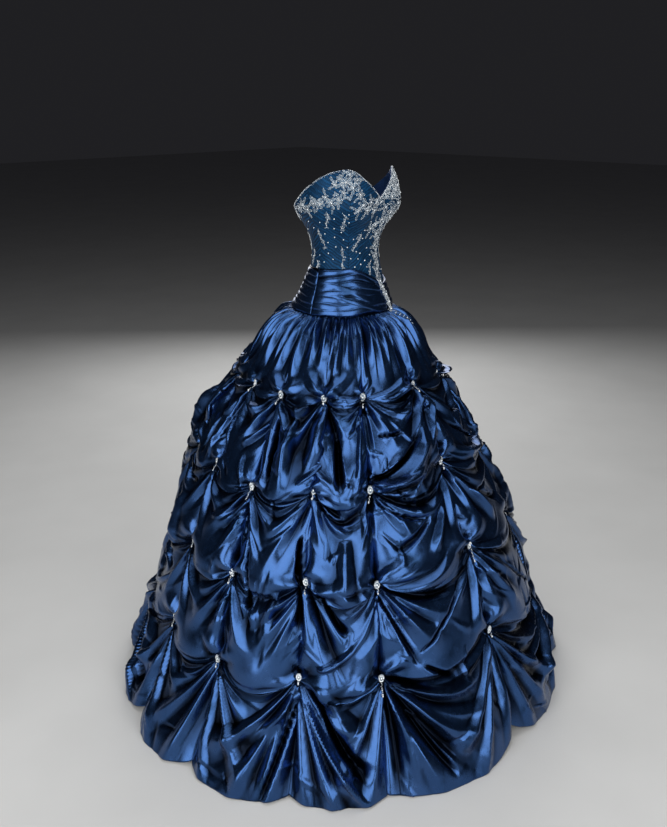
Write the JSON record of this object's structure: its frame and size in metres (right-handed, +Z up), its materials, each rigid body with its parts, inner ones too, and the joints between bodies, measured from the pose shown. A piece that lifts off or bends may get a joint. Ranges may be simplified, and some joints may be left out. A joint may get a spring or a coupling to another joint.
{
  "type": "ball gown",
  "caption": "Strapless ball gown in worn shape: beaded sweetheart bodice, ruched dropped waistband and a full taffeta skirt gathered, picked up in rows and puffed down to the hem.",
  "frame": {"origin": "centre of the waist, where the wearer holds the gown up", "axes": "+Z up, -Y the way the wearer faces, +X towards the wearer's left"},
  "size_m": [1.296, 1.2086, 1.3878],
  "materials": {
    "taffeta": "glossy silk-like taffeta, royal blue with dark slate shading",
    "lace_over_satin": "satin under a fine gathered net, with raised beaded lace",
    "beads": "silver-lined glass beads and rhinestones"
  },
  "bodies": {
    "root": {"band_back": "taffeta", "band_front": "taffeta", "band_side_left": "taffeta", "bead_strip": "beads", "bodice_back_left": "lace_over_satin", "bodice_back_right": "lace_over_satin", "bodice_front": "lace_over_satin", "bodice_side_back_left": "lace_over_satin", "bodice_side_back_right": "lace_over_satin", "bodice_side_front_left": "lace_over_satin", "bodice_side_front_right": "lace_over_satin", "cluster_1_000": "beads", "cluster_1_038": "beads", "cluster_1_060": "beads", "cluster_1_085": "beads", "cluster_1_108": "beads", "cluster_1_252": "beads", "cluster_1_275": "beads", "cluster_1_300": "beads", "cluster_1_322": "beads", "cluster_2_000": "beads", "cluster_2_038": "beads", "cluster_2_060": "beads", "cluster_2_085": "beads", "cluster_2_108": "beads", "cluster_2_252": "beads", "cluster_2_275": "beads", "cluster_2_300": "beads", "cluster_2_322": "beads", "cluster_3_000": "beads", "cluster_3_038": "beads", "cluster_3_060": "beads", "cluster_3_085": "beads", "cluster_3_108": "beads", "cluster_3_252": "beads", "cluster_3_275": "beads", "cluster_3_300": "beads", "cluster_3_322": "beads", "cluster_4_000": "beads", "cluster_4_038": "beads", "cluster_4_060": "beads", "cluster_4_085": "beads", "cluster_4_108": "beads", "cluster_4_252": "beads", "cluster_4_275": "beads", "cluster_4_300": "beads", "cluster_4_322": "beads", "skirt_back_left": "taffeta", "skirt_back_right": "taffeta", "skirt_front": "taffeta", "skirt_side_back_left": "taffeta", "skirt_side_back_right": "taffeta", "skirt_side_front_left": "taffeta", "skirt_side_front_right": "taffeta", "zip_pull": "beads"}
  },
  "joints": []
}
